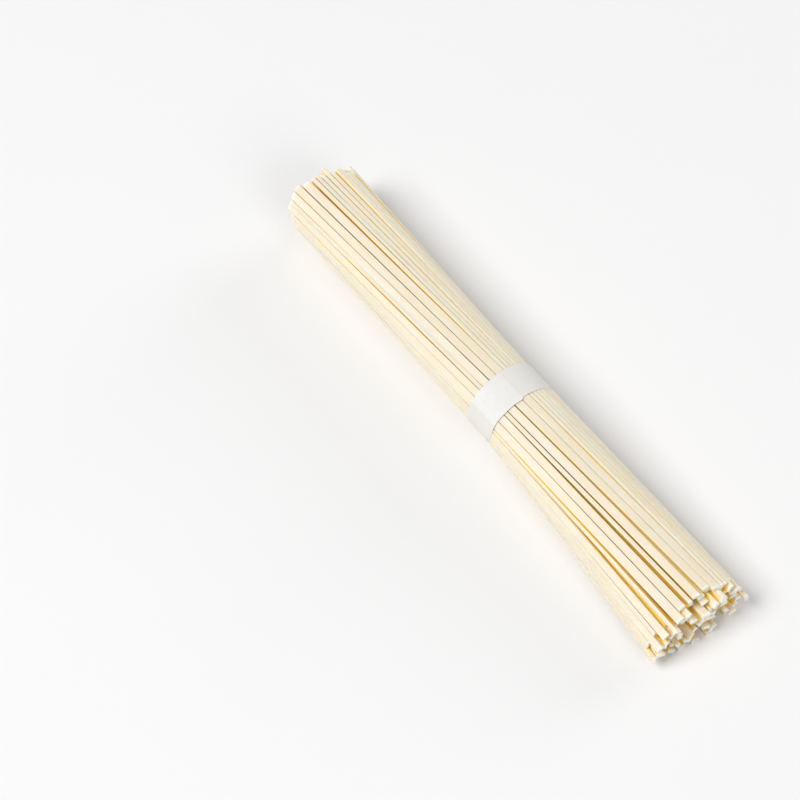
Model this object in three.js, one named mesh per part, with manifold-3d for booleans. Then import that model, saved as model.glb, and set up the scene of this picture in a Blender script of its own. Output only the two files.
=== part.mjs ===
// A bundle of dried udon noodles, held at mid-length by a paper band.
// Millimetres, +Z up. X runs along the noodles, and the wider fanned end is at +X.
// The bundle lies on the plane z = 0, with the origin under the middle of its box.
import * as THREE from 'three';
import { mergeVertices } from 'three/addons/utils/BufferGeometryUtils.js';
import Module from 'manifold-3d';

const wasm = await Module();
wasm.setup();

// Noodles
const NOODLE_COUNT = 96;
const NOODLE_LENGTH = 200;
const NOODLE_WIDTH = 2.8;
const NOODLE_THICKNESS = 1.4;
const SIZE_SPREAD = 0.06; // share by which a noodle's width and thickness vary
const TIP_SLIDE = 3; // how far a noodle may lie along the bundle from its middle

// Bundle
const WAIST_WIDTH = 26.5;
const WAIST_HEIGHT = 25.5;
const WAIST_SHIFT = 5; // the band lies this far towards +X from the noodles' mean middle
// An end is made from the waist. It is turned round the bundle's length by a twist in radians,
// spread, and pressed together on the table by an oval wall whose middle is at a height of its
// own. Then its -Y share is parted into slices by gaps, and all of it leans towards +Y.
const NEAR_END = {
  twist: -0.5,
  spread: { y: 1.4, z: 0.72 },
  wall: { width: 34.5, height: 30, middle: 3.5, power: 2.4, tilt: 0.12 },
  splitShare: 0.5,
  splits: 4,
  splitGap: 1,
  lean: 1.8,
};
const FAR_END = {
  twist: 0.45,
  spread: { y: 1.03, z: 1 },
  wall: { width: 28, height: 26, middle: 13, power: 2, tilt: 0 },
  splitShare: 1,
  splits: 3,
  splitGap: 0.3,
  lean: 1.5,
};
const END_JITTER = 0.35;
const END_TURN = 0.12; // radians
const BEND_ZONE = 10; // the noodles bend within this distance of the middle
const TABLE_REACH = 0.85; // a noodle that meets the table does so this far out
const EDGEWAYS_SHARE = 0.12; // share of the inner noodles that start on edge
const FLAT_RING = 0.75; // noodles further out than this share of the waist start flat
const EDGE_SIDE = THREE.MathUtils.degToRad(40); // round this direction, more noodles start on edge
const EDGE_SPAN = THREE.MathUtils.degToRad(45); // to either side of it
const EDGE_SIDE_SHARE = 0.85; // share of the noodles there that start on edge

// Paper band
const BAND_WIDTH = 12;
const BAND_THICKNESS = 0.4;
const BAND_GAP = 0.3; // between the noodles and the band
const BAND_LIFT = 0.3; // between the band and the table
const BAND_SIDES = 48;
const OVERLAP_START = THREE.MathUtils.degToRad(93); // the paper is double between these
const OVERLAP_END = THREE.MathUtils.degToRad(145);

// Core that the noodles are fused to
const CORE_WAIST_SHARE = 0.92; // of the bundle's width and height there
const CORE_END_SHARE = 0.8;
const CORE_TIP_SHARE = 0.6;
const CORE_TAPER = 12;
const CORE_RECESS = 10; // from the noodles' mean tip
const CORE_SIDES = 36;

// Settling of the noodles
const SEED = 18;
const WAIST_ROUNDS = 240;
const END_ROUNDS = 240;
const SPLIT_ROUNDS = 40;
const LOOSE_WAIST = 1.35; // size of the wall at the first round, as a share of its own size
const LOOSE_END = 1.15;
const CLOSING_SHARE = 0.6; // share of the rounds in which the wall closes in
const CLEARANCE = 0.04; // left between noodles
const FACE_SOFTNESS = 0.2; // faces closer to parallel than this press on each other's middle
const TABLE_TOUCH = 0.2; // a noodle this close to the table lies on it
const TABLE_TILT = 0.4; // radians, the most that a noodle lying on the table is turned flat

const GOLDEN_ANGLE = Math.PI * (3 - Math.sqrt(5));
const WAIST_LIFT = BAND_LIFT + BAND_THICKNESS + BAND_GAP;
const WAIST_Z = WAIST_LIFT + WAIST_HEIGHT / 2;
const WAIST_WALL = { width: WAIST_WIDTH, height: WAIST_HEIGHT, middle: WAIST_Z, power: 2, tilt: 0 };
const HALF_LENGTH = NOODLE_LENGTH / 2;

// Seeded random numbers: each call gives the next one between low and high.
function makeRandom(seed) {
  const multiplier = 48271;
  const modulus = 2147483647;
  let state = seed;
  return (low, high) => {
    state = (state * multiplier) % modulus;
    return low + ((high - low) * state) / modulus;
  };
}

// A noodle's section is a rectangle at (y, z), with its wide faces turned by roll.
function cornersOf(section) {
  const cos = Math.cos(section.roll);
  const sin = Math.sin(section.roll);
  const corners = [];
  for (const [u, v] of [[-1, -1], [1, -1], [1, 1], [-1, 1]]) {
    const along = u * section.halfWidth;
    const across = v * section.halfThickness;
    corners.push({
      y: section.y + along * cos - across * sin,
      z: section.z + along * sin + across * cos,
    });
  }
  return corners;
}

// The furthest point of a section along a direction, eased to the middle of a flat face.
function supportPoint(section, ny, nz) {
  const cos = Math.cos(section.roll);
  const sin = Math.sin(section.roll);
  const ease = (share) => Math.max(-1, Math.min(1, share / FACE_SOFTNESS));
  const along = section.halfWidth * ease(cos * ny + sin * nz);
  const across = section.halfThickness * ease(cos * nz - sin * ny);
  return {
    y: section.y + along * cos - across * sin,
    z: section.z + along * sin + across * cos,
  };
}

function reachAlong(section, ny, nz) {
  const cos = Math.cos(section.roll);
  const sin = Math.sin(section.roll);
  const along = section.halfWidth * Math.abs(cos * ny + sin * nz);
  const across = section.halfThickness * Math.abs(cos * nz - sin * ny);
  return along + across;
}

// The shortest push that parts two sections, or null where they are clear.
function overlapOf(a, b) {
  const dy = b.y - a.y;
  const dz = b.z - a.z;
  let push = null;
  for (const roll of [a.roll, a.roll + Math.PI / 2, b.roll, b.roll + Math.PI / 2]) {
    const ny = Math.cos(roll);
    const nz = Math.sin(roll);
    const offset = dy * ny + dz * nz;
    const side = offset < 0 ? -1 : 1;
    const depth = reachAlong(a, ny, nz) + reachAlong(b, ny, nz) + CLEARANCE - offset * side;
    if (depth <= 0) return null;
    if (!push || depth < push.depth) push = { depth, y: ny * side, z: nz * side };
  }
  return push;
}

// How a push along a direction at a point shifts and turns a section.
function leverOf(section, point, ny, nz) {
  return (point.y - section.y) * nz - (point.z - section.z) * ny;
}

function inertiaOf(section) {
  return (section.halfWidth ** 2 + section.halfThickness ** 2) / 3;
}

function mobilityOf(section, lever) {
  return 1 + (lever * lever) / inertiaOf(section);
}

function move(section, ny, nz, lever, amount) {
  section.y += ny * amount;
  section.z += nz * amount;
  section.roll += (lever * amount) / inertiaOf(section);
}

function partPair(a, b) {
  const reach = Math.hypot(a.halfWidth, a.halfThickness) + Math.hypot(b.halfWidth, b.halfThickness);
  if (Math.hypot(b.y - a.y, b.z - a.z) > reach + CLEARANCE) return;
  const push = overlapOf(a, b);
  if (!push) return;
  const fromA = supportPoint(a, push.y, push.z);
  const fromB = supportPoint(b, -push.y, -push.z);
  const contact = { y: (fromA.y + fromB.y) / 2, z: (fromA.z + fromB.z) / 2 };
  const leverA = leverOf(a, contact, push.y, push.z);
  const leverB = leverOf(b, contact, push.y, push.z);
  const amount = push.depth / (mobilityOf(a, leverA) + mobilityOf(b, leverB));
  move(a, push.y, push.z, leverA, -amount);
  move(b, push.y, push.z, leverB, amount);
}

function pushCorner(section, corner, ny, nz, depth) {
  const lever = leverOf(section, corner, ny, nz);
  move(section, ny, nz, lever, depth / mobilityOf(section, lever));
}

// Size of a wall that closes in from loose to its own size.
function closing(looseness, time) {
  return looseness + (1 - looseness) * Math.min(1, time / CLOSING_SHARE);
}

// Keeps a section inside a tilted oval wall. A power over 2 makes the oval squarer.
function holdInWall(section, wall, size) {
  const halfWidth = (size * wall.width) / 2;
  const halfHeight = (size * wall.height) / 2;
  const { power } = wall;
  const cos = Math.cos(wall.tilt);
  const sin = Math.sin(wall.tilt);
  const steepness = (share) => Math.sign(share) * Math.abs(share) ** (power - 1);
  for (const corner of cornersOf(section)) {
    const rise = corner.z - wall.middle;
    const along = (corner.y * cos + rise * sin) / halfWidth;
    const across = (rise * cos - corner.y * sin) / halfHeight;
    const share = (Math.abs(along) ** power + Math.abs(across) ** power) ** (1 / power);
    if (share <= 1) continue;
    const slopeAlong = steepness(along) / halfWidth;
    const slopeAcross = steepness(across) / halfHeight;
    const slope = Math.hypot(slopeAlong, slopeAcross);
    const ny = (slopeAlong * cos - slopeAcross * sin) / slope;
    const nz = (slopeAlong * sin + slopeAcross * cos) / slope;
    pushCorner(section, corner, -ny, -nz, ((share - 1) * share ** (power - 1)) / slope);
  }
}

function holdOnTable(section) {
  for (const corner of cornersOf(section)) {
    if (corner.z < 0) pushCorner(section, corner, 0, 1, -corner.z);
  }
}

// Parts the sections round by round, and applies hold to each one.
function settle(sections, rounds, hold) {
  for (let round = 0; round < rounds; round += 1) {
    for (let i = 0; i < sections.length; i += 1) {
      for (let j = i + 1; j < sections.length; j += 1) {
        partPair(sections[i], sections[j]);
      }
      hold(sections[i], round / rounds);
    }
  }
}

// The section under the band: drawn out evenly, then pressed together by a closing wall.
// The outer noodles lie flat against the wall, or mostly on edge to it on the upper +Y side,
// and the inner ones are turned at random.
function makeWaist(random) {
  const sections = [];
  for (let k = 0; k < NOODLE_COUNT; k += 1) {
    const reach = Math.sqrt((k + 0.5) / NOODLE_COUNT);
    const turn = k * GOLDEN_ANGLE;
    const tangent = Math.atan2(WAIST_HEIGHT * Math.cos(turn), -WAIST_WIDTH * Math.sin(turn));
    const disorder = (1 - reach ** 3) * (Math.PI / 2);
    const onEdgeSide = Math.cos(turn - EDGE_SIDE) > Math.cos(EDGE_SPAN);
    const innerShare = reach < FLAT_RING ? EDGEWAYS_SHARE : 0;
    const edgewaysShare = onEdgeSide ? EDGE_SIDE_SHARE : innerShare;
    const edgeways = random(0, 1) < edgewaysShare ? Math.PI / 2 : 0;
    sections.push({
      y: LOOSE_WAIST * reach * Math.cos(turn) * (WAIST_WIDTH / 2),
      z: WAIST_Z + LOOSE_WAIST * reach * Math.sin(turn) * (WAIST_HEIGHT / 2),
      roll: tangent + edgeways + random(-1, 1) * disorder,
      halfWidth: (NOODLE_WIDTH / 2) * (1 + random(-1, 1) * SIZE_SPREAD),
      halfThickness: (NOODLE_THICKNESS / 2) * (1 + random(-1, 1) * SIZE_SPREAD),
    });
  }
  settle(sections, WAIST_ROUNDS, (section, time) => {
    holdInWall(section, WAIST_WALL, closing(LOOSE_WAIST, time));
  });
  return sections;
}

// A section of the waist turned round the middle of the bundle.
function twisted(section, twist) {
  const cos = Math.cos(twist);
  const sin = Math.sin(twist);
  const height = section.z - WAIST_Z;
  return {
    ...section,
    y: section.y * cos - height * sin,
    z: WAIST_Z + section.y * sin + height * cos,
    roll: section.roll + twist,
  };
}

// The section at one end, pressed together with its lowest noodles on the table, and split.
function makeEnd(waist, end, random) {
  const { wall, spread } = end;
  const middle = (wall.middle + wall.height / 2) / 2;
  const sections = waist.map((section) => twisted(section, end.twist));
  for (const section of sections) {
    section.y = section.y * spread.y + random(-1, 1) * END_JITTER;
    section.z = middle + (section.z - WAIST_Z) * spread.z + random(-1, 1) * END_JITTER;
    section.roll += random(-1, 1) * END_TURN;
  }
  settle(sections, END_ROUNDS, (section, time) => {
    holdInWall(section, wall, closing(LOOSE_END, time));
    holdOnTable(section);
  });
  split(sections, end);
  settle(sections, SPLIT_ROUNDS, holdOnTable);
  sections.forEach(layOnTable);
  return sections;
}

// Parts the -Y side of an end into slices, each a gap further out than the one inside it.
function split(sections, end) {
  const bySide = [...sections].sort((a, b) => a.y - b.y);
  const count = bySide.length * end.splitShare;
  bySide.forEach((section, k) => {
    const gaps = Math.ceil(Math.max(0, 1 - k / count) * end.splits);
    section.y += end.lean - gaps * end.splitGap;
  });
}

function layOnTable(section) {
  const flatRoll = Math.round(section.roll / Math.PI) * Math.PI;
  const lowest = Math.min(...cornersOf(section).map((corner) => corner.z));
  section.onTable = lowest < TABLE_TOUCH && Math.abs(section.roll - flatRoll) < TABLE_TILT;
  if (section.onTable) {
    section.roll = flatRoll;
    section.z = section.halfThickness;
  } else {
    section.z += Math.max(0, TABLE_TOUCH - lowest);
  }
}

// Each noodle runs from its far end through the waist to its near end.
function makeNoodles() {
  const random = makeRandom(SEED);
  const waist = makeWaist(random);
  const near = makeEnd(waist, NEAR_END, random);
  const far = makeEnd(waist, FAR_END, random);
  return waist.map((section, k) => {
    const middle = random(-1, 1) * TIP_SLIDE - WAIST_SHIFT;
    return {
      waist: section,
      near: near[k],
      far: far[k],
      farTip: middle - HALF_LENGTH,
      nearTip: middle + HALF_LENGTH,
    };
  });
}

// Share of the way from the waist to an end: bent near the band, then straight.
function fanShare(distance) {
  const bent = (d) => (d < BEND_ZONE ? (d * d) / (2 * BEND_ZONE) : d - BEND_ZONE / 2);
  return bent(distance) / bent(HALF_LENGTH);
}

// The section of a noodle at x. Seen from above, it leans straight through the band, and both
// ends bend away to the same side. In height and roll, it bends towards each end on its own.
function sectionAt(noodle, x) {
  const { waist, near, far } = noodle;
  const end = x < 0 ? far : near;
  const share = fanShare(Math.abs(x));
  const fall = end.onTable ? Math.min(1, share / TABLE_REACH) : share;
  const lean = (near.y - far.y) / 2;
  const bend = (near.y + far.y) / 2 - waist.y;
  return {
    y: waist.y + (lean * x) / HALF_LENGTH + bend * share,
    z: waist.z + (end.z - waist.z) * fall,
    roll: waist.roll + (end.roll - waist.roll) * fall,
    halfWidth: waist.halfWidth,
    halfThickness: waist.halfThickness,
  };
}

// Where a noodle's path turns: its tips, the bend by the band and where it meets the table.
function stationsOf(noodle) {
  const landing = TABLE_REACH * (HALF_LENGTH - BEND_ZONE / 2) + BEND_ZONE / 2;
  const bend = [-BEND_ZONE, -BEND_ZONE / 2, 0, BEND_ZONE / 2, BEND_ZONE];
  const landings = [];
  if (noodle.far.onTable) landings.push(-landing);
  if (noodle.near.onTable) landings.push(landing);
  return [noodle.farTip, ...bend, ...landings, noodle.nearTip].sort((a, b) => a - b);
}

// One noodle: a box with a slice at each station, each slice moved to its section.
function noodleGeometry(noodle) {
  const stations = stationsOf(noodle);
  const steps = stations.length - 1;
  const slices = stations.map((x) => cornersOf(sectionAt(noodle, x)));
  const geometry = new THREE.BoxGeometry(steps, 1, 1, steps, 1, 1);
  const places = geometry.attributes.position;
  for (let i = 0; i < places.count; i += 1) {
    const slice = Math.round(places.getX(i) + steps / 2);
    const right = places.getY(i) > 0;
    const upper = places.getZ(i) > 0;
    const order = upper ? [3, 2] : [0, 1];
    const corner = slices[slice][order[right ? 1 : 0]];
    places.setXYZ(i, stations[slice], corner.y, corner.z);
  }
  return geometry;
}

// The box round the noodles' sections at x.
function boxAt(noodles, x) {
  const box = new THREE.Box2();
  for (const noodle of noodles) {
    for (const corner of cornersOf(sectionAt(noodle, x))) {
      box.expandByPoint(new THREE.Vector2(corner.y, corner.z));
    }
  }
  return box;
}

// The plain oval body inside the bundle, which stops short of the noodles' tips. It is turned
// as a round rod with shares for radii, and then stretched to the bundle's own box at each x.
function coreGeometry(noodles) {
  const end = HALF_LENGTH - CORE_RECESS;
  const shoulder = end - CORE_TAPER;
  const profile = [
    new THREE.Vector2(0, -WAIST_SHIFT - end),
    new THREE.Vector2(CORE_TIP_SHARE, -WAIST_SHIFT - end),
    new THREE.Vector2(CORE_END_SHARE, -WAIST_SHIFT - shoulder),
    new THREE.Vector2(CORE_WAIST_SHARE, -BEND_ZONE),
    new THREE.Vector2(CORE_WAIST_SHARE, 0),
    new THREE.Vector2(CORE_WAIST_SHARE, BEND_ZONE),
    new THREE.Vector2(CORE_END_SHARE, -WAIST_SHIFT + shoulder),
    new THREE.Vector2(CORE_TIP_SHARE, -WAIST_SHIFT + end),
    new THREE.Vector2(0, -WAIST_SHIFT + end),
  ];
  const geometry = new THREE.LatheGeometry(profile, CORE_SIDES);
  geometry.rotateZ(-Math.PI / 2);
  const places = geometry.attributes.position;
  for (let i = 0; i < places.count; i += 1) {
    const box = boxAt(noodles, places.getX(i));
    const middle = box.getCenter(new THREE.Vector2());
    const half = box.getSize(new THREE.Vector2()).divideScalar(2);
    places.setY(i, middle.x + places.getY(i) * half.x);
    places.setZ(i, middle.y + places.getZ(i) * half.y);
  }
  return geometry;
}

function toManifold(geometry) {
  const bare = geometry.clone();
  bare.deleteAttribute('normal');
  bare.deleteAttribute('uv');
  const merged = mergeVertices(bare);
  const mesh = new wasm.Mesh({
    numProp: 3,
    vertProperties: new Float32Array(merged.attributes.position.array),
    triVerts: new Uint32Array(merged.index.array),
  });
  return new wasm.Manifold(mesh);
}

function toGeometry(manifold) {
  const mesh = manifold.getMesh();
  const geometry = new THREE.BufferGeometry();
  geometry.setAttribute('position', new THREE.BufferAttribute(mesh.vertProperties, 3));
  geometry.setIndex(new THREE.BufferAttribute(mesh.triVerts, 1));
  geometry.computeVertexNormals();
  return geometry;
}

// The core and noodles as one body. The largest piece is kept, so sealed hollows are filled.
function bundleGeometry(noodles) {
  let body = toManifold(coreGeometry(noodles));
  for (const noodle of noodles) body = body.add(toManifold(noodleGeometry(noodle)));
  const pieces = body.decompose();
  pieces.sort((a, b) => b.volume() - a.volume());
  return toGeometry(pieces[0]);
}

// The outline of a sheet pulled tight round the waist, clear of the noodles by the band's gap:
// a ring of lines that touch the noodles, cut off where each line meets the next.
function outlineRound(noodles) {
  const edges = [-BAND_WIDTH / 2, 0, BAND_WIDTH / 2];
  const corners = noodles.flatMap((noodle) => edges.flatMap((x) => cornersOf(sectionAt(noodle, x))));
  const step = (2 * Math.PI) / BAND_SIDES;
  const lines = [];
  for (let n = 0; n < BAND_SIDES; n += 1) {
    const ny = Math.cos(n * step);
    const nz = Math.sin(n * step);
    const reach = Math.max(...corners.map((corner) => corner.y * ny + corner.z * nz));
    lines.push({ ny, nz, distance: reach + BAND_GAP });
  }
  return lines.map((line, n) => {
    const next = lines[(n + 1) % BAND_SIDES];
    const y = (line.distance * next.nz - next.distance * line.nz) / Math.sin(step);
    const z = (next.distance * line.ny - line.distance * next.ny) / Math.sin(step);
    return { point: new THREE.Vector2(y, z), angle: (n + 0.5) * step };
  });
}

// The band: one layer of paper, and two where its ends overlap.
function bandGeometry(noodles) {
  const inner = outlineRound(noodles);
  const outside = (place, layers) => {
    const outward = new THREE.Vector2(Math.cos(place.angle), Math.sin(place.angle));
    return place.point.clone().addScaledVector(outward, layers * BAND_THICKNESS);
  };
  const doubled = (place) => place.angle > OVERLAP_START && place.angle < OVERLAP_END;
  const outer = [];
  inner.forEach((place, n) => {
    const before = inner[(n + BAND_SIDES - 1) % BAND_SIDES];
    const after = inner[(n + 1) % BAND_SIDES];
    if (doubled(place) && !doubled(before)) outer.push(outside(place, 1));
    outer.push(outside(place, doubled(place) ? 2 : 1));
    if (doubled(place) && !doubled(after)) outer.push(outside(place, 1));
  });
  const shape = new THREE.Shape(outer);
  shape.holes.push(new THREE.Path(inner.map((place) => place.point)));
  const geometry = new THREE.ExtrudeGeometry(shape, { depth: BAND_WIDTH, bevelEnabled: false });
  geometry.translate(0, 0, -BAND_WIDTH / 2);
  // The outline's first axis becomes Y, its second Z, and the depth runs along X.
  geometry.applyMatrix4(new THREE.Matrix4().set(0, 0, 1, 0, 1, 0, 0, 0, 0, 1, 0, 0, 0, 0, 0, 1));
  return geometry;
}

const noodles = makeNoodles();

const noodlesMesh = new THREE.Mesh(
  bundleGeometry(noodles),
  new THREE.MeshStandardMaterial({ color: 0xf5e9cb, roughness: 0.7, metalness: 0 }),
);
noodlesMesh.name = 'noodles';

const bandMesh = new THREE.Mesh(
  bandGeometry(noodles),
  new THREE.MeshStandardMaterial({ color: 0xf0eeea, roughness: 0.85, metalness: 0 }),
);
bandMesh.name = 'paper_band';

// The origin goes under the middle of the bundle's box.
noodlesMesh.geometry.computeBoundingBox();
const middle = noodlesMesh.geometry.boundingBox.getCenter(new THREE.Vector3());

const bundle = new THREE.Group();
bundle.add(noodlesMesh, bandMesh);
bundle.position.set(-middle.x, -middle.y, 0);

export default bundle;
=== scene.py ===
import math

import bpy
import numpy as np
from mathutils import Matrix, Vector
from mathutils.bvhtree import BVHTree


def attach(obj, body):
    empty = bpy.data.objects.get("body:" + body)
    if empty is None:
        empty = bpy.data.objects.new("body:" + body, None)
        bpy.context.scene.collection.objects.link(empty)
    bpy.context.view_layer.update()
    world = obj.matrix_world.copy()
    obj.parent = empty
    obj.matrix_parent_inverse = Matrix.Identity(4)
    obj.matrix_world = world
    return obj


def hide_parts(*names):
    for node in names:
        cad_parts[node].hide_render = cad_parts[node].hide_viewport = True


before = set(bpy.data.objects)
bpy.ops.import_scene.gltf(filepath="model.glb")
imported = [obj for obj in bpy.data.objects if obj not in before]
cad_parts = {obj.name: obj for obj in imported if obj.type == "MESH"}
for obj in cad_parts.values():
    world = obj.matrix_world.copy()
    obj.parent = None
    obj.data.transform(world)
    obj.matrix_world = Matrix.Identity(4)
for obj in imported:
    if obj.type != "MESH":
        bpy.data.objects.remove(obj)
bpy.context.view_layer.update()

MM = 0.001

# Noodles
NOODLE_COUNT = 96
NOODLE_LENGTH = 200
NOODLE_WIDTH = 2.8
NOODLE_THICKNESS = 1.4
SIZE_SPREAD = 0.06  # share by which a noodle's width and thickness vary
TIP_SLIDE = 3  # how far a noodle may lie along the bundle from its middle

# Bundle
WAIST_WIDTH = 26.5
WAIST_HEIGHT = 25.5
WAIST_LIFT = 1.0  # room under the waist for the solid band and its clearances
WAIST_SHIFT = 5  # the band lies this far towards +X from the noodles' mean middle
# An end is made from the waist. It is turned round the bundle's length by a twist in radians,
# spread in y and z, and pressed together on the table by an oval wall whose middle is at a
# height of its own. Then its -Y share is parted into slices by gaps, and all of it leans to +Y.
NEAR_END = {
    "twist": -0.5,
    "spread": (1.4, 0.72),
    "wall": {"width": 34.5, "height": 30, "middle": 3.5, "power": 2.4, "tilt": 0.12},
    "split_share": 0.5,
    "splits": 4,
    "split_gap": 1.0,
    "lean": 1.8,
}
FAR_END = {
    "twist": 0.45,
    "spread": (1.03, 1.0),
    "wall": {"width": 28, "height": 26, "middle": 13, "power": 2, "tilt": 0},
    "split_share": 1.0,
    "splits": 3,
    "split_gap": 0.3,
    "lean": 1.5,
}
END_JITTER = 0.35
END_TURN = 0.12  # radians
BEND_ZONE = 10  # the noodles bend within this distance of the middle
TABLE_REACH = 0.85  # a noodle that meets the table does so this far out
EDGEWAYS_SHARE = 0.12  # share of the inner noodles that start on edge
FLAT_RING = 0.75  # noodles further out than this share of the waist start flat
EDGE_SIDE = math.radians(40)  # round this direction, more noodles start on edge
EDGE_SPAN = math.radians(45)  # to either side of it
EDGE_SIDE_SHARE = 0.85  # share of the noodles there that start on edge

# Settling of the noodles
SEED = 18
WAIST_ROUNDS = 240
END_ROUNDS = 240
SPLIT_ROUNDS = 40
LOOSE_WAIST = 1.35  # size of the wall at the first round, as a share of its own size
LOOSE_END = 1.15
CLOSING_SHARE = 0.6  # share of the rounds in which the wall closes in
CLEARANCE = 0.04  # left between noodles
FACE_SOFTNESS = 0.2  # faces closer to parallel than this press on each other's middle
TABLE_TOUCH = 0.2  # a noodle this close to the table lies on it
TABLE_TILT = 0.4  # radians, the most that a noodle lying on the table is turned flat

GOLDEN_ANGLE = math.pi * (3 - math.sqrt(5))
WAIST_Z = WAIST_LIFT + WAIST_HEIGHT / 2
WAIST_WALL = {"width": WAIST_WIDTH, "height": WAIST_HEIGHT, "middle": WAIST_Z, "power": 2, "tilt": 0}
HALF_LENGTH = NOODLE_LENGTH / 2

# Surface of a noodle
LOOK_SEED = 11
STATION_STEP = 4.5  # between the sections along a noodle
EDGE_RADIUS = 0.14
CORNER_STEPS = 2  # faces round each edge
FACE_INSET = 3 * EDGE_RADIUS  # of the support points on the wide faces
SHRINKAGE = 0.02
TIP_LENGTH = 1.0
BOW = 0.22
ROLL_WAVE = 0.05
SIZE_WAVE = 0.02
SIZE_WAVE_RATE = 0.07  # radians per millimetre
CUT_TILT = 0.16
CUT_ROUGHNESS = 0.07
CUT_RINGS = (0.7, 0.35)  # sizes of the rings in a cut face, as shares of its rim
CHIP = 0.22
CHIP_RARITY = 3  # whole points for each chipped one round a cut
GRAIN_DEPTH = 0.37  # how fast the grain changes through a noodle's thickness
NOODLE_SHARP_DEGREES = 50

# Crevices and gaps between the noodles, found by looking round from each vertex, for the painted
# shade in the crevices and the painted golden glow in the gaps
LOOK_DIRECTIONS = 24
LOOK_COSINE = 0.2  # directions closer to the surface than this are left out
LOOK_START = 0.04
LOOK_REACH = 4.0
CREVICE_REACH = 0.45  # a noodle nearer than this makes a crevice, and one further off a gap

# Paper band
BAND_WIDTH = 12
PAPER_THICKNESS = 0.12
PAPER_GAP = 0.1  # between the noodles and the paper
LAYER_GAP = 0.03  # between two layers of paper
PAPER_STEP = 0.45
PAPER_ROWS = 14
SEAM_ANGLE = math.radians(93)
OVERLAP = 13.5
CLIMB = 2.2  # length over which the paper climbs onto its own hidden end
END_LIFT = 0.1
LIFT_LENGTH = 1.5
EDGE_WAVE = 0.12
SLOW_WAVE_RATE = 0.21  # radians per millimetre
FINE_WAVE_RATE = 0.83
FINE_WAVE_SHARE = 0.5
OVERLAP_SKEW = 0.45
OUTLINE_ANGLES = 360
SMOOTHINGS = 14
PAPER_SHARP_DEGREES = 60

# Dough
PALE_DOUGH = (0.885, 0.78, 0.625)
DEEP_DOUGH = (0.855, 0.745, 0.572)
# painted shade: a brown put in the crevices where noodles all but touch
CREVICE_PAINTED_SHADE = (0.62, 0.46, 0.22)
# painted glow: the golden light that passes through the dough, put in the gaps between noodles
GAP_PAINTED_GLOW = (1.0, 0.7, 0.13)
FLOUR = (0.905, 0.835, 0.73)
CUT_WHITE = (0.97, 0.95, 0.89)
STREAK = (0.83, 0.715, 0.515)
STREAK_GRAIN = (0.03, 1.5, 3.1)  # of the noise along, across and from noodle to noodle
CLOUD_GRAIN = (0.06, 0.3, 1.7)
FINE_GRAIN = (1.2, 4.5, 2.3)
RIDGE_HEIGHT = 0.00012  # metres
SPECK_HEIGHT = 0.00006
DOUGH_SCATTER_RADIUS = (1.0, 0.6, 0.28)
DOUGH_SCATTER_SCALE = 0.0015

# Paper
PAPER_DOUBLE = (0.865, 0.845, 0.8)
PAPER_SINGLE = (0.82, 0.79, 0.73)
PAPER_FIBRE = (0.86, 0.84, 0.8)
PAPER_CLOUD = (0.79, 0.76, 0.705)
FIBRE_GRAIN = (2.2, 0.6, 1)
PAPER_CLOUD_GRAIN = (0.35, 0.35, 1)
DENT_HEIGHT = 0.0004  # metres
FIBRE_HEIGHT = 0.00005
PAPER_SCATTER_RADIUS = (1.0, 0.9, 0.7)
PAPER_SCATTER_SCALE = 0.0005

# Floor and light
FLOOR_SIZE = 3.0
FLOOR_PALE = (0.89, 0.89, 0.89)
FLOOR_SHADE = (0.875, 0.875, 0.877)
FLOOR_CLOUD_SCALE = 9.0
WORLD_STRENGTH = 0.33
# A light has a name, a turn from the image's right and a height above the table in degrees,
# a distance and a size in metres, and a power in watts
LIGHTS = (
    ("key", 205, 52, 4.0, 2.0, 114),
    ("fill", 300, 35, 4.0, 2.0, 34),
    ("rim", 36, 18, 4.0, 2.0, 50),
)

# Camera, from the outline of the bundle in an image of 800 by 800
IMAGE_SIZE = 800
FOCAL_PIXELS = 3400
SENSOR = 36
CAMERA_AZIMUTH = math.radians(53.62)
CAMERA_ELEVATION = math.radians(56)
CAMERA_DISTANCE = 1.0990
CAMERA_AIM = Vector((-0.01926, -0.02658, 0.012))


def make_random(seed):
    """Seeded random numbers: each call gives the next one between low and high."""
    multiplier = 48271
    modulus = 2147483647
    state = seed

    def draw(low, high):
        nonlocal state
        state = state * multiplier % modulus
        return low + (high - low) * state / modulus

    return draw


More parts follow.
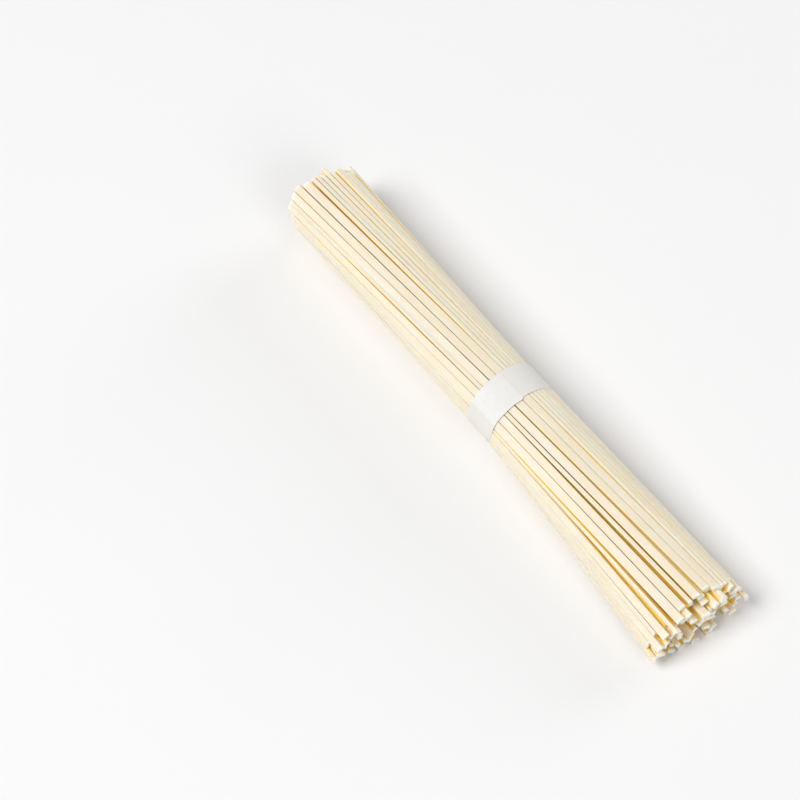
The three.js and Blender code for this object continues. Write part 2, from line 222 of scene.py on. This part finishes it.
class Section:
    """A noodle's section: a rectangle at (y, z), with its wide faces turned by roll."""

    def __init__(self, y, z, roll, half_width, half_thickness):
        self.y = y
        self.z = z
        self.roll = roll
        self.half_width = half_width
        self.half_thickness = half_thickness
        self.on_table = False
        self.radius = math.hypot(half_width, half_thickness)
        self.inertia = (half_width ** 2 + half_thickness ** 2) / 3

    def point(self, along, across):
        """A point given along the section's width and across its thickness."""
        cos = math.cos(self.roll)
        sin = math.sin(self.roll)
        return self.y + along * cos - across * sin, self.z + along * sin + across * cos

    def corners(self):
        signs = ((-1, -1), (1, -1), (1, 1), (-1, 1))
        return [self.point(u * self.half_width, v * self.half_thickness) for u, v in signs]

    def shares(self, ny, nz):
        """A direction's shares along the section's width and across its thickness."""
        cos = math.cos(self.roll)
        sin = math.sin(self.roll)
        return cos * ny + sin * nz, cos * nz - sin * ny

    def support(self, ny, nz):
        """The furthest point along a direction, eased to the middle of a flat face."""
        along, across = (max(-1, min(1, s / FACE_SOFTNESS)) for s in self.shares(ny, nz))
        return self.point(self.half_width * along, self.half_thickness * across)

    def reach(self, ny, nz):
        """How far the section reaches from its middle along a direction."""
        along, across = self.shares(ny, nz)
        return self.half_width * abs(along) + self.half_thickness * abs(across)

    def lever(self, y, z, ny, nz):
        """The turning arm of a push at (y, z)."""
        return (y - self.y) * nz - (z - self.z) * ny

    def mobility(self, lever):
        """How readily the section gives way to a push with such an arm."""
        return 1 + lever * lever / self.inertia

    def move(self, ny, nz, lever, amount):
        self.y += ny * amount
        self.z += nz * amount
        self.roll += lever * amount / self.inertia

    def push_corner(self, y, z, ny, nz, depth):
        """Moves and turns the section so that a corner goes back by a depth."""
        lever = self.lever(y, z, ny, nz)
        self.move(ny, nz, lever, depth / self.mobility(lever))


def overlap_of(a, b):
    """The shortest push that parts two sections, or None where they are clear."""
    push = None
    for roll in (a.roll, a.roll + math.pi / 2, b.roll, b.roll + math.pi / 2):
        ny = math.cos(roll)
        nz = math.sin(roll)
        offset = (b.y - a.y) * ny + (b.z - a.z) * nz
        side = -1 if offset < 0 else 1
        depth = a.reach(ny, nz) + b.reach(ny, nz) + CLEARANCE - offset * side
        if depth <= 0:
            return None
        if push is None or depth < push[0]:
            push = (depth, ny * side, nz * side)
    return push


def part_pair(a, b):
    """Pushes two overlapping sections apart, each by its own mobility."""
    if math.hypot(b.y - a.y, b.z - a.z) > a.radius + b.radius + CLEARANCE:
        return
    push = overlap_of(a, b)
    if push is None:
        return
    depth, ny, nz = push
    from_a = a.support(ny, nz)
    from_b = b.support(-ny, -nz)
    y = (from_a[0] + from_b[0]) / 2
    z = (from_a[1] + from_b[1]) / 2
    lever_a = a.lever(y, z, ny, nz)
    lever_b = b.lever(y, z, ny, nz)
    amount = depth / (a.mobility(lever_a) + b.mobility(lever_b))
    a.move(ny, nz, lever_a, -amount)
    b.move(ny, nz, lever_b, amount)


def closing(looseness, time):
    """Size of a wall that closes in from loose to its own size."""
    return looseness + (1 - looseness) * min(1, time / CLOSING_SHARE)


def hold_in_wall(section, wall, size):
    """Keeps a section inside a tilted oval wall. A power over 2 makes the oval squarer."""
    half_width = size * wall["width"] / 2
    half_height = size * wall["height"] / 2
    power = wall["power"]
    cos = math.cos(wall["tilt"])
    sin = math.sin(wall["tilt"])
    for corner_y, corner_z in section.corners():
        rise = corner_z - wall["middle"]
        along = (corner_y * cos + rise * sin) / half_width
        across = (rise * cos - corner_y * sin) / half_height
        share = (abs(along) ** power + abs(across) ** power) ** (1 / power)
        if share <= 1:
            continue
        lean_along = math.copysign(abs(along) ** (power - 1), along) / half_width
        lean_across = math.copysign(abs(across) ** (power - 1), across) / half_height
        slope = math.hypot(lean_along, lean_across)
        depth = (share - 1) * share ** (power - 1) / slope
        ny = (lean_along * cos - lean_across * sin) / slope
        nz = (lean_along * sin + lean_across * cos) / slope
        section.push_corner(corner_y, corner_z, -ny, -nz, depth)


def hold_on_table(section):
    """Keeps a section above the table."""
    for y, z in section.corners():
        if z < 0:
            section.push_corner(y, z, 0, 1, -z)


def settle(sections, rounds, hold):
    """Parts the sections pair by pair, round after round, and holds each in its place."""
    for turn in range(rounds):
        for i, section in enumerate(sections):
            for other in sections[i + 1:]:
                part_pair(section, other)
            hold(section, turn / rounds)


def make_waist(draw):
    """The noodles' sections at the band, spread on a spiral and packed by a closing wall."""
    sections = []
    for k in range(NOODLE_COUNT):
        reach = math.sqrt((k + 0.5) / NOODLE_COUNT)
        turn = k * GOLDEN_ANGLE
        tangent = math.atan2(WAIST_HEIGHT * math.cos(turn), -WAIST_WIDTH * math.sin(turn))
        on_edge_side = math.cos(turn - EDGE_SIDE) > math.cos(EDGE_SPAN)
        inner_share = EDGEWAYS_SHARE if reach < FLAT_RING else 0
        edgeways_share = EDGE_SIDE_SHARE if on_edge_side else inner_share
        disorder = (1 - reach ** 3) * (math.pi / 2)
        edgeways = math.pi / 2 if draw(0, 1) < edgeways_share else 0
        y = LOOSE_WAIST * reach * math.cos(turn) * (WAIST_WIDTH / 2)
        z = WAIST_Z + LOOSE_WAIST * reach * math.sin(turn) * (WAIST_HEIGHT / 2)
        roll = tangent + edgeways + draw(-1, 1) * disorder
        half_width = NOODLE_WIDTH / 2 * (1 + draw(-1, 1) * SIZE_SPREAD)
        half_thickness = NOODLE_THICKNESS / 2 * (1 + draw(-1, 1) * SIZE_SPREAD)
        sections.append(Section(y, z, roll, half_width, half_thickness))

    def hold(section, time):
        hold_in_wall(section, WAIST_WALL, closing(LOOSE_WAIST, time))

    settle(sections, WAIST_ROUNDS, hold)
    return sections


def twisted(section, twist):
    """A section of the waist turned round the middle of the bundle."""
    cos = math.cos(twist)
    sin = math.sin(twist)
    height = section.z - WAIST_Z
    y = section.y * cos - height * sin
    z = WAIST_Z + section.y * sin + height * cos
    return Section(y, z, section.roll + twist, section.half_width, section.half_thickness)


def make_end(waist, end, draw):
    """An end of the bundle: the waist turned, spread, packed on the table and split."""
    wall = end["wall"]
    middle = (wall["middle"] + wall["height"] / 2) / 2
    spread_y, spread_z = end["spread"]
    sections = [twisted(section, end["twist"]) for section in waist]
    for section in sections:
        section.y = section.y * spread_y + draw(-1, 1) * END_JITTER
        section.z = middle + (section.z - WAIST_Z) * spread_z + draw(-1, 1) * END_JITTER
        section.roll += draw(-1, 1) * END_TURN

    def hold(section, time):
        hold_in_wall(section, wall, closing(LOOSE_END, time))
        hold_on_table(section)

    settle(sections, END_ROUNDS, hold)
    split(sections, end)
    settle(sections, SPLIT_ROUNDS, lambda section, time: hold_on_table(section))
    for section in sections:
        lay_on_table(section)
    return sections


def split(sections, end):
    """Parts the -Y side of an end into slices, each a gap further out than the one inside it."""
    by_side = sorted(sections, key=lambda section: section.y)
    count = len(by_side) * end["split_share"]
    for k, section in enumerate(by_side):
        gaps = math.ceil(max(0, 1 - k / count) * end["splits"])
        section.y += end["lean"] - gaps * end["split_gap"]


def lay_on_table(section):
    """Lays a section flat if it all but lies on the table, and else keeps it just clear."""
    flat_roll = math.floor(section.roll / math.pi + 0.5) * math.pi
    lowest = min(z for y, z in section.corners())
    section.on_table = lowest < TABLE_TOUCH and abs(section.roll - flat_roll) < TABLE_TILT
    if section.on_table:
        section.roll = flat_roll
        section.z = section.half_thickness
    else:
        section.z += max(0, TABLE_TOUCH - lowest)


class Noodle:
    """A noodle's path from its far end through the waist to its near end."""

    def __init__(self, waist, near, far, slide):
        self.waist = waist
        self.near = near
        self.far = far
        self.far_tip = slide - HALF_LENGTH - WAIST_SHIFT
        self.near_tip = slide + HALF_LENGTH - WAIST_SHIFT

    def section(self, x):
        """The section at x: leaning straight through the band, and bent from there to an end."""
        end = self.far if x < 0 else self.near
        share = fan_share(abs(x))
        fall = min(1, share / TABLE_REACH) if end.on_table else share
        start = self.waist
        lean = (self.near.y - self.far.y) / 2
        bend = (self.near.y + self.far.y) / 2 - start.y
        y = start.y + lean * x / HALF_LENGTH + bend * share
        z = start.z + (end.z - start.z) * fall
        roll = start.roll + (end.roll - start.roll) * fall
        return Section(y, z, roll, start.half_width, start.half_thickness)


def fan_share(distance):
    """Share of the way from the waist to an end: bent near the band, then straight."""
    def bent(d):
        return d * d / (2 * BEND_ZONE) if d < BEND_ZONE else d - BEND_ZONE / 2
    return bent(distance) / bent(HALF_LENGTH)


def make_noodles():
    """All the noodles of the bundle, each slid a little along it."""
    draw = make_random(SEED)
    waist = make_waist(draw)
    near = make_end(waist, NEAR_END, draw)
    far = make_end(waist, FAR_END, draw)
    return [Noodle(w, n, f, draw(-1, 1) * TIP_SLIDE) for w, n, f in zip(waist, near, far)]


def bundle_middle(noodles):
    """The middle of the bundle's box in X and Y, which is the frame's origin."""
    places = []
    for noodle in noodles:
        for tip in (noodle.far_tip, noodle.near_tip):
            places += [(tip, y, 0) for y, z in noodle.section(tip).corners()]
    places = np.array(places)
    return (places.min(axis=0) + places.max(axis=0)) / 2


class MeshData:
    """Vertices, faces and per-vertex values that are joined into one mesh."""

    def __init__(self):
        self.vertices = []
        self.faces = []
        self.values = {}

    def add(self, vertices, faces, **values):
        start = len(self.vertices)
        self.vertices += vertices
        self.faces += [tuple(start + i for i in face) for face in faces]
        for name, numbers in values.items():
            self.values.setdefault(name, []).extend(numbers)

    def build(self, name, middle, sharp_degrees):
        """Makes the object in metres, with the middle of the bundle at the origin."""
        mesh = bpy.data.meshes.new(name)
        places = (np.array(self.vertices) - middle) * MM
        mesh.from_pydata(places.tolist(), [], self.faces)
        for value_name, numbers in self.values.items():
            numbers = np.array(numbers, dtype=float)
            kind = "FLOAT_VECTOR" if numbers.ndim == 2 else "FLOAT"
            field = "vector" if numbers.ndim == 2 else "value"
            attribute = mesh.attributes.new(value_name, kind, "POINT")
            attribute.data.foreach_set(field, numbers.ravel())
        mesh.shade_smooth()
        mesh.set_sharp_from_angle(angle=math.radians(sharp_degrees))
        mesh.update()
        piece = bpy.data.objects.new(name, mesh)
        bpy.context.scene.collection.objects.link(piece)
        return piece


def noodle_profile(half_width, half_thickness):
    """A rectangle with rounded edges and a support point beside each edge of its wide faces."""
    half_width -= SHRINKAGE
    points = []
    for quarter, (u, v) in enumerate(((1, 1), (-1, 1), (-1, -1), (1, -1))):
        for step in range(CORNER_STEPS + 1):
            angle = (quarter + step / CORNER_STEPS) * math.pi / 2
            along = u * (half_width - EDGE_RADIUS) + EDGE_RADIUS * math.cos(angle)
            across = v * (half_thickness - EDGE_RADIUS) + EDGE_RADIUS * math.sin(angle)
            points.append((along, across))
        if quarter % 2 == 0:
            inset = half_width - FACE_INSET
            points.append((u * inset, v * half_thickness))
            points.append((-u * inset, v * half_thickness))
    return points


def noodle_stations(noodle):
    """Places along a noodle where it has a section, with a short step at each tip."""
    inner = np.arange(noodle.far_tip + TIP_LENGTH, noodle.near_tip - TIP_LENGTH, STATION_STEP)
    last = noodle.near_tip - TIP_LENGTH
    if last - inner[-1] < TIP_LENGTH:
        inner = inner[:-1]
    return [noodle.far_tip, *inner, last, noodle.near_tip]


def bowed_section(noodle, x, look):
    """The noodle's section with the slight bow and twist that drying gives it."""
    section = noodle.section(x)
    end = noodle.far if x < 0 else noodle.near
    share = min(1, fan_share(abs(x)))
    swing = math.sin(math.pi * share)
    side = 0 if x < 0 else 1
    section.y += look["bow_y"][side] * swing
    if not end.on_table:
        section.z += look["bow_z"][side] * swing
        section.roll += look["roll_wave"] * math.sin(2 * math.pi * share + look["phase"]) * swing
    size = 1 + SIZE_WAVE * math.sin(SIZE_WAVE_RATE * x + look["phase"])
    section.half_width *= size
    section.half_thickness *= size if not end.on_table else 1
    return section


def draw_look(draw):
    """One noodle's own bow, waviness, tone and cuts."""
    return {
        "bow_y": (draw(-1, 1) * BOW, draw(-1, 1) * BOW),
        "bow_z": (draw(-1, 1) * BOW, draw(-1, 1) * BOW),
        "roll_wave": draw(-1, 1) * ROLL_WAVE,
        "phase": draw(0, 2 * math.pi),
        "tone": draw(0, 1),
        "tilt": [(draw(-1, 1) * CUT_TILT, draw(-1, 1) * CUT_TILT) for _ in range(2)],
    }


def add_noodle(data, noodle, index, look, draw):
    """Adds a noodle's sides and its two cut faces to the mesh."""
    vertices = []
    tips = []
    grain = []
    stations = noodle_stations(noodle)
    around = 0
    for n, x in enumerate(stations):
        section = bowed_section(noodle, x, look)
        profile = noodle_profile(section.half_width, section.half_thickness)
        around = len(profile)
        at_tip = n in (0, len(stations) - 1)
        for along, across in profile:
            place_x = x
            if at_tip:
                tilt = look["tilt"][0 if n == 0 else 1]
                inward = 1 if n == 0 else -1
                chip = CHIP * max(0, draw(-CHIP_RARITY, 1))
                place_x += tilt[0] * along + tilt[1] * across + inward * chip
            vertices.append((place_x, *section.point(along, across)))
            tips.append(1.0 if at_tip else 0.0)
            grain.append((x, along, index + GRAIN_DEPTH * across))
    faces = []
    for n in range(len(stations) - 1):
        for k in range(around):
            after = (k + 1) % around
            row = n * around
            faces.append((row + k, row + after, row + around + after, row + around + k))
    for n in (0, len(stations) - 1):
        add_cut(vertices, faces, tips, grain, n * around, around, n == 0, draw)
    count = len(vertices)
    data.add(vertices, faces, tone=[look["tone"]] * count, tip=tips, grain=grain)


def add_cut(vertices, faces, tips, grain, start, around, far, draw):
    """The rough cut face at a tip: rings drawn in to its middle."""
    rim = np.array(vertices[start:start + around])
    middle = rim.mean(axis=0)
    ring = list(range(start, start + around))
    for share in CUT_RINGS:
        first = len(vertices)
        for place, source in zip(rim, grain[start:start + around]):
            point = middle + (place - middle) * share
            point[0] += draw(-1, 1) * CUT_ROUGHNESS
            vertices.append(tuple(point))
            tips.append(1.0)
            grain.append((source[0] + 1 - share, source[1] * share, source[2]))
        inner = list(range(first, first + around))
        for k in range(around):
            after = (k + 1) % around
            face = (ring[k], ring[after], inner[after], inner[k])
            faces.append(face[::-1] if far else face)
        ring = inner
    vertices.append(tuple(middle))
    tips.append(1.0)
    grain.append((grain[start][0] + 1, 0.0, grain[start][2]))
    for k in range(around):
        face = (ring[k], ring[(k + 1) % around], len(vertices) - 1)
        faces.append(face[::-1] if far else face)


def build_noodles(noodles, middle):
    """All the noodles as one mesh."""
    draw = make_random(LOOK_SEED)
    data = MeshData()
    for index, noodle in enumerate(noodles):
        add_noodle(data, noodle, index, draw_look(draw), draw)
    piece = data.build("udon_noodles", middle, sharp_degrees=NOODLE_SHARP_DEGREES)
    mark_gaps(piece.data)
    return piece


def even_directions(count):
    """Unit vectors spread evenly over a sphere."""
    directions = []
    for k in range(count):
        z = 1 - (2 * k + 1) / count
        level = math.sqrt(1 - z * z)
        turn = k * GOLDEN_ANGLE
        directions.append(Vector((level * math.cos(turn), level * math.sin(turn), z)))
    return directions


def mark_gaps(mesh):
    """Stores at each vertex the share of the directions it faces that noodles block.

    A crevice is blocked by a noodle that all but touches, and a gap by one further off. The material
    paints shade where the crevices are and a golden glow where the gaps are.
    """
    tree = BVHTree.FromPolygons([v.co for v in mesh.vertices], [p.vertices for p in mesh.polygons])
    directions = even_directions(LOOK_DIRECTIONS)
    crevices = []
    gaps = []
    for vertex, normal in zip(mesh.vertices, mesh.vertex_normals):
        start = vertex.co + normal.vector * LOOK_START * MM
        facing = [d for d in directions if d.dot(normal.vector) > LOOK_COSINE]
        distances = [tree.ray_cast(start, d, LOOK_REACH * MM)[3] for d in facing]
        blocked = [distance for distance in distances if distance is not None]
        close = [distance for distance in blocked if distance < CREVICE_REACH * MM]
        crevices.append(len(close) / len(facing))
        gaps.append((len(blocked) - len(close)) / len(facing))
    for name, shares in (("crevice", crevices), ("gap", gaps)):
        attribute = mesh.attributes.new(name, "FLOAT", "POINT")
        attribute.data.foreach_set("value", shares)


def tight_outline(noodles):
    """Points evenly spaced round a sheet pulled tight over the noodles, with soft corners."""
    corners = np.array([corner for noodle in noodles for corner in noodle.section(0).corners()])
    angles = np.linspace(0, 2 * math.pi, OUTLINE_ANGLES, endpoint=False)
    normals = np.stack([np.cos(angles), np.sin(angles)], axis=1)
    reach = (corners @ normals.T).max(axis=0) + PAPER_GAP
    after = np.roll(reach, -1)
    turned = np.roll(normals, -1, axis=0)
    step = math.sin(angles[1])
    y = (reach * turned[:, 1] - after * normals[:, 1]) / step
    z = (after * normals[:, 0] - reach * turned[:, 0]) / step
    ring = np.stack([y, z], axis=1)
    ring = np.vstack([ring, ring[:1]])
    lengths = np.concatenate([[0], np.cumsum(np.linalg.norm(np.diff(ring, axis=0), axis=1))])
    count = int(lengths[-1] / PAPER_STEP)
    places = np.linspace(0, lengths[-1], count, endpoint=False)
    even = np.stack([np.interp(places, lengths, ring[:, axis]) for axis in range(2)], axis=1)
    for _ in range(SMOOTHINGS):
        even = even * 0.5 + (np.roll(even, 1, axis=0) + np.roll(even, -1, axis=0)) * 0.25
    return even


def outward_normals(ring):
    """Unit vectors that point away from the bundle, one for each point of the outline."""
    tangent = np.roll(ring, -1, axis=0) - np.roll(ring, 1, axis=0)
    normal = np.stack([tangent[:, 1], -tangent[:, 0]], axis=1)
    return normal / np.linalg.norm(normal, axis=1)[:, None]


def paper_path(noodles):
    """The strip's line from its hidden end, once round the bundle and over itself to the seam.

    Each step gives the place, the outward direction, the height off the noodles, the layers
    and the shift along the bundle.
    """
    ring = tight_outline(noodles)
    normals = outward_normals(ring)
    count = len(ring)
    directions = np.arctan2(ring[:, 1] - WAIST_Z, ring[:, 0]) % (2 * math.pi)
    seam = int(np.argmin(np.abs(directions - SEAM_ANGLE)))
    doubled = int(OVERLAP / PAPER_STEP)
    steps = []
    for n in range(count + doubled + 1):
        k = (seam + doubled - n) % count
        beyond = (n - count) * PAPER_STEP
        climb = min(1, max(0, (beyond + CLIMB) / CLIMB))
        climb = climb * climb * (3 - 2 * climb)
        to_end = (count + doubled - n) * PAPER_STEP
        lift = END_LIFT * max(0, 1 - to_end / LIFT_LENGTH) ** 2
        height = climb * (PAPER_THICKNESS + LAYER_GAP) + lift
        layers = 2.0 if beyond > 0 or n < doubled else 1.0
        skew = OVERLAP_SKEW * (n / (count + doubled)) ** 3
        steps.append((ring[k], normals[k], height, layers, skew))
    return steps


def build_band(noodles, middle):
    """The strip of paper round the bundle, with slightly wavy edges."""
    draw = make_random(LOOK_SEED + 1)
    phases = [draw(0, 2 * math.pi) for _ in range(4)]
    steps = paper_path(noodles)
    vertices = []
    layers = []
    grain = []
    for n, (place, normal, height, layer, skew) in enumerate(steps):
        along = n * PAPER_STEP
        edges = []
        for edge in range(2):
            slow = math.sin(SLOW_WAVE_RATE * along + phases[edge])
            fine = math.sin(FINE_WAVE_RATE * along + phases[edge + 2])
            wave = slow + FINE_WAVE_SHARE * fine
            edges.append((edge - 0.5) * BAND_WIDTH + EDGE_WAVE * wave + skew)
        for side in range(2):
            point = place + normal * (height + side * PAPER_THICKNESS)
            for row in range(PAPER_ROWS):
                share = row / (PAPER_ROWS - 1)
                x = edges[0] + (edges[1] - edges[0]) * share
                vertices.append((x, point[0], point[1]))
                layers.append(layer)
                grain.append((x, along, float(side)))
    data = MeshData()
    data.add(vertices, strip_faces(len(steps)), layers=layers, grain=grain)
    return data.build("paper_wrap", middle, sharp_degrees=PAPER_SHARP_DEGREES)


def strip_faces(count):
    """Faces of a closed strip: its inside, outside, two long edges and two ends."""
    rows = PAPER_ROWS

    def at(n, side, row):
        return n * 2 * rows + side * rows + row

    faces = []
    for n in range(count - 1):
        for row in range(rows - 1):
            faces.append((at(n, 0, row), at(n + 1, 0, row), at(n + 1, 0, row + 1), at(n, 0, row + 1)))
            faces.append((at(n, 1, row), at(n, 1, row + 1), at(n + 1, 1, row + 1), at(n + 1, 1, row)))
        faces.append((at(n, 0, 0), at(n, 1, 0), at(n + 1, 1, 0), at(n + 1, 0, 0)))
        last = rows - 1
        faces.append((at(n, 0, last), at(n + 1, 0, last), at(n + 1, 1, last), at(n, 1, last)))
    for row in range(rows - 1):
        faces.append((at(0, 0, row), at(0, 0, row + 1), at(0, 1, row + 1), at(0, 1, row)))
        end = count - 1
        faces.append((at(end, 0, row), at(end, 1, row), at(end, 1, row + 1), at(end, 0, row + 1)))
    return faces


class Graph:
    """A material's nodes, with short calls for the kinds used here."""

    def __init__(self, name):
        self.material = bpy.data.materials.new(name)
        self.material.use_nodes = True
        self.nodes = self.material.node_tree.nodes
        self.links = self.material.node_tree.links
        self.shader = self.nodes["Principled BSDF"]

    def link(self, source, target):
        self.links.new(source, target)

    def attribute(self, name, output="Fac"):
        node = self.nodes.new("ShaderNodeAttribute")
        node.attribute_name = name
        return node.outputs[output]

    def scaled(self, vector, scale):
        node = self.nodes.new("ShaderNodeMapping")
        node.inputs["Scale"].default_value = scale
        self.link(vector, node.inputs["Vector"])
        return node.outputs["Vector"]

    def noise(self, vector, scale, detail=2.0, roughness=0.5):
        node = self.nodes.new("ShaderNodeTexNoise")
        node.inputs["Scale"].default_value = scale
        node.inputs["Detail"].default_value = detail
        node.inputs["Roughness"].default_value = roughness
        self.link(vector, node.inputs["Vector"])
        return node.outputs["Fac"]

    def span(self, value, low, high, to_low, to_high):
        """Maps the values from low to high onto those from to_low to to_high."""
        node = self.nodes.new("ShaderNodeMapRange")
        node.inputs["From Min"].default_value = low
        node.inputs["From Max"].default_value = high
        node.inputs["To Min"].default_value = to_low
        node.inputs["To Max"].default_value = to_high
        self.link(value, node.inputs["Value"])
        return node.outputs["Result"]

    def times(self, first, second):
        node = self.nodes.new("ShaderNodeMath")
        node.operation = "MULTIPLY"
        self.link(first, node.inputs[0])
        self.link(second, node.inputs[1])
        return node.outputs["Value"]

    def blend(self, factor, first, second):
        """Mixes two colours, each a socket or a colour, by a factor socket."""
        node = self.nodes.new("ShaderNodeMix")
        node.data_type = "RGBA"
        self.link(factor, node.inputs[0])
        for value, socket in ((first, node.inputs[6]), (second, node.inputs[7])):
            if isinstance(value, tuple):
                socket.default_value = (*value, 1)
            else:
                self.link(value, socket)
        return node.outputs[2]

    def bump(self, height, strength, distance, before=None):
        """Relief on the surface, over an earlier relief if one is given."""
        node = self.nodes.new("ShaderNodeBump")
        node.inputs["Strength"].default_value = strength
        node.inputs["Distance"].default_value = distance
        self.link(height, node.inputs["Height"])
        if before is not None:
            self.link(before, node.inputs["Normal"])
        return node.outputs["Normal"]


def noodle_material():
    """Dry dough: floury and streaked, white at the cuts, with painted shade in the crevices and a
    painted golden glow in the gaps between noodles.
    """
    graph = Graph("dried_dough")
    grain = graph.attribute("grain", "Vector")
    tone = graph.attribute("tone")
    tip = graph.attribute("tip")
    streaks = graph.noise(graph.scaled(grain, STREAK_GRAIN), 1.0, detail=4, roughness=0.6)
    cloud = graph.noise(graph.scaled(grain, CLOUD_GRAIN), 1.0)
    fine = graph.noise(graph.scaled(grain, FINE_GRAIN), 1.0, detail=3, roughness=0.7)
    # masks for the painted shade in the crevices and the painted golden glow in the gaps
    crevice = graph.span(graph.attribute("crevice"), 0.35, 0.8, 0, 0.9)
    gap = graph.span(graph.attribute("gap"), 0.28, 0.6, 0, 0.95)
    dough = graph.blend(tone, PALE_DOUGH, DEEP_DOUGH)
    dough = graph.blend(graph.span(streaks, 0.52, 0.75, 0, 0.45), dough, STREAK)
    dough = graph.blend(graph.span(cloud, 0.45, 0.7, 0, 0.5), dough, FLOUR)
    dough = graph.blend(graph.span(fine, 0.55, 0.8, 0, 0.5), dough, FLOUR)
    dough = graph.blend(graph.span(fine, 0.25, 0.45, 0.4, 0), dough, STREAK)
    dough = graph.blend(graph.times(tip, graph.span(fine, 0.3, 0.7, 0.6, 1)), dough, CUT_WHITE)
    # painted shade in the crevices between noodles
    dough = graph.blend(crevice, dough, CREVICE_PAINTED_SHADE)
    # painted golden glow in the gaps between noodles
    dough = graph.blend(gap, dough, GAP_PAINTED_GLOW)
    graph.link(dough, graph.shader.inputs["Base Color"])
    graph.link(graph.span(fine, 0.3, 0.7, 0.52, 0.72), graph.shader.inputs["Roughness"])
    ridges = graph.bump(streaks, 0.25, RIDGE_HEIGHT)
    graph.link(graph.bump(fine, 0.25, SPECK_HEIGHT, ridges), graph.shader.inputs["Normal"])
    graph.shader.inputs["Specular IOR Level"].default_value = 0.35
    graph.shader.inputs["Subsurface Weight"].default_value = 0.6
    graph.shader.inputs["Subsurface Radius"].default_value = DOUGH_SCATTER_RADIUS
    graph.shader.inputs["Subsurface Scale"].default_value = DOUGH_SCATTER_SCALE
    return graph.material


def paper_material():
    """Thin white paper, whiter where it is double."""
    graph = Graph("wrap_paper")
    grain = graph.attribute("grain", "Vector")
    layers = graph.attribute("layers")
    fibres = graph.noise(graph.scaled(grain, FIBRE_GRAIN), 1.3, detail=5, roughness=0.7)
    cloud = graph.noise(graph.scaled(grain, PAPER_CLOUD_GRAIN), 1.0, detail=3, roughness=0.6)
    paper = graph.blend(graph.span(layers, 1, 2, 0, 1), PAPER_SINGLE, PAPER_DOUBLE)
    paper = graph.blend(graph.span(cloud, 0.45, 0.75, 0, 0.5), paper, PAPER_CLOUD)
    paper = graph.blend(graph.span(fibres, 0.5, 0.8, 0, 0.7), paper, PAPER_FIBRE)
    graph.link(paper, graph.shader.inputs["Base Color"])
    graph.link(graph.span(fibres, 0.3, 0.7, 0.75, 0.92), graph.shader.inputs["Roughness"])
    dents = graph.bump(cloud, 0.3, DENT_HEIGHT)
    graph.link(graph.bump(fibres, 0.3, FIBRE_HEIGHT, dents), graph.shader.inputs["Normal"])
    graph.shader.inputs["Specular IOR Level"].default_value = 0.2
    graph.shader.inputs["Subsurface Weight"].default_value = 0.3
    graph.shader.inputs["Subsurface Radius"].default_value = PAPER_SCATTER_RADIUS
    graph.shader.inputs["Subsurface Scale"].default_value = PAPER_SCATTER_SCALE
    return graph.material


def floor_material():
    """A plain pale floor with a faint cloudiness."""
    graph = Graph("pale_floor")
    coordinates = graph.nodes.new("ShaderNodeTexCoord").outputs["Object"]
    cloud = graph.noise(coordinates, FLOOR_CLOUD_SCALE, detail=2)
    graph.link(graph.blend(cloud, FLOOR_PALE, FLOOR_SHADE), graph.shader.inputs["Base Color"])
    graph.shader.inputs["Roughness"].default_value = 0.8
    graph.shader.inputs["Specular IOR Level"].default_value = 0.1
    return graph.material


def build_floor():
    bpy.ops.mesh.primitive_plane_add(size=FLOOR_SIZE)
    floor = bpy.context.object
    floor.name = "floor"
    floor.data.materials.append(floor_material())


def build_camera():
    level = math.cos(CAMERA_ELEVATION)
    back = Vector((
        math.sin(CAMERA_AZIMUTH) * level,
        -math.cos(CAMERA_AZIMUTH) * level,
        math.sin(CAMERA_ELEVATION),
    ))
    camera = bpy.data.cameras.new("camera")
    camera.sensor_width = SENSOR
    camera.lens = FOCAL_PIXELS * SENSOR / IMAGE_SIZE
    holder = bpy.data.objects.new("camera", camera)
    holder.location = CAMERA_AIM + back * CAMERA_DISTANCE
    holder.rotation_euler = (-back).to_track_quat("-Z", "Y").to_euler()
    bpy.context.scene.collection.objects.link(holder)
    bpy.context.scene.camera = holder


def build_lights():
    """A wide soft key, a weak fill from the near end, a low rim light and an even white surround."""
    right = Vector((math.cos(CAMERA_AZIMUTH), math.sin(CAMERA_AZIMUTH), 0))
    away = Vector((-math.sin(CAMERA_AZIMUTH), math.cos(CAMERA_AZIMUTH), 0))
    for name, turn, height, distance, size, power in LIGHTS:
        turn = math.radians(turn)
        height = math.radians(height)
        level = right * math.cos(turn) + away * math.sin(turn)
        towards = level * math.cos(height) + Vector((0, 0, math.sin(height)))
        light = bpy.data.lights.new(name, "AREA")
        light.energy = power
        light.size = size
        holder = bpy.data.objects.new(name, light)
        holder.location = towards * distance
        holder.rotation_euler = (-towards).to_track_quat("-Z", "Y").to_euler()
        bpy.context.scene.collection.objects.link(holder)
    world = bpy.data.worlds.new("surround")
    world.use_nodes = True
    surround = world.node_tree.nodes["Background"]
    surround.inputs["Color"].default_value = (1, 1, 1, 1)
    surround.inputs["Strength"].default_value = WORLD_STRENGTH
    bpy.context.scene.world = world


def dress(piece, material, node):
    """Gives a piece its material and puts it in the place of a solid."""
    piece.data.materials.append(material)
    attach(piece, "root")
    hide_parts(node)


build_camera()
build_lights()
build_floor()
bundle = make_noodles()
origin = bundle_middle(bundle)
dress(build_noodles(bundle, origin), noodle_material(), "noodles")
dress(build_band(bundle, origin), paper_material(), "paper_band")
bpy.context.scene.view_settings.view_transform = "Standard"
